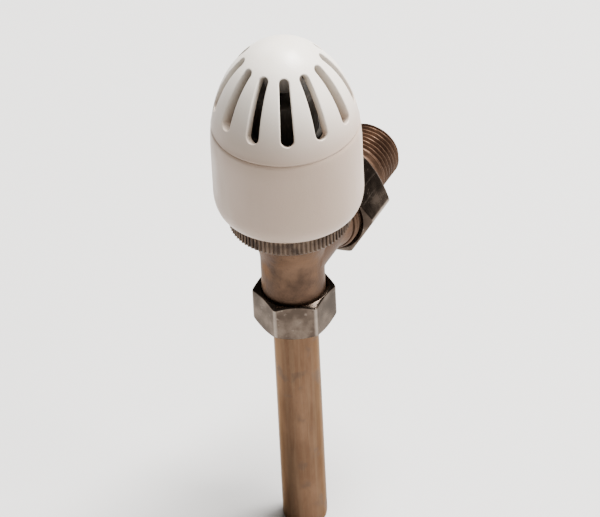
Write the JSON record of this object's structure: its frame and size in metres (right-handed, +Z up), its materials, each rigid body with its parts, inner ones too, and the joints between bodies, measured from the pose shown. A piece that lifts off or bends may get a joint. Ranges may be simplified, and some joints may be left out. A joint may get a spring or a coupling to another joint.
{
  "type": "thermostatic radiator valve",
  "caption": "Angle radiator valve with a slotted egg-shaped thermostatic cap, a union tail for the radiator and a compression joint on a stub of copper pipe.",
  "frame": {"origin": "centre of the flat radiator end of the union tail", "axes": "+Y from the valve into the radiator, +Z up along the valve axis from the pipe to the top of the cap, +X to the right as seen from the room looking at the radiator's end"},
  "size_m": [0.0488, 0.0864, 0.194],
  "materials": {
    "cap_white": "satin moulded plastic",
    "dark_plastic": "dark moulded plastic",
    "aged_brass": "dull forged brass",
    "nut_metal": "machined, lightly plated",
    "copper": "tarnished copper tube",
    "collar_bronze": "dark bronze, knurled",
    "steel": "bright steel",
    "spring_steel": "spring wire",
    "black_rubber": "moulded rubber"
  },
  "bodies": {
    "valve": {"valve_body": "aged_brass", "copper_tube": "copper", "olive": "aged_brass", "compression_nut": "nut_metal", "union_nut": "nut_metal", "union_tail": "aged_brass", "tail_o_ring": "black_rubber", "bonnet": "aged_brass", "bonnet_o_ring": "black_rubber", "gland_nut": "aged_brass", "gland_o_ring": "black_rubber", "return_spring": "spring_steel", "ring_nut": "collar_bronze", "head_base": "dark_plastic", "guide_ring": "dark_plastic"},
    "setting_carrier": {"adjusting_sleeve": "dark_plastic", "sensor_capsule": "copper", "overtravel_spring": "spring_steel", "spring_cup": "dark_plastic", "cap_clip": "steel"},
    "turning_cap": {"cap": "cap_white"},
    "pin_set": {"valve_pin": "steel", "pin_clip": "steel", "valve_disc": "aged_brass", "seat_washer": "black_rubber", "disc_nut": "aged_brass", "sensor_piston": "steel"}
  },
  "joints": [
    {"name": "setting_slide", "type": "slide", "parent": "valve", "child": "setting_carrier", "axis": [0, 0, 1], "range_m": [-0.0009, 0.0009]},
    {"name": "cap_turn", "type": "hinge", "parent": "setting_carrier", "child": "turning_cap", "pos_m": [0, -0.062, 0.05], "axis": [0, 0, 1], "range_deg": [-150, 150]},
    {"name": "sensor_stroke", "type": "slide", "parent": "setting_carrier", "child": "pin_set", "axis": [0, 0, 1], "range_m": [-0.0005, 0.0005], "stiffness_N_per_m": 5000, "deforming": ["return_spring"]}
  ],
  "couplings": [
    {"joint": "cap_turn", "follows": "setting_slide", "rad_per_m": 2908}
  ]
}
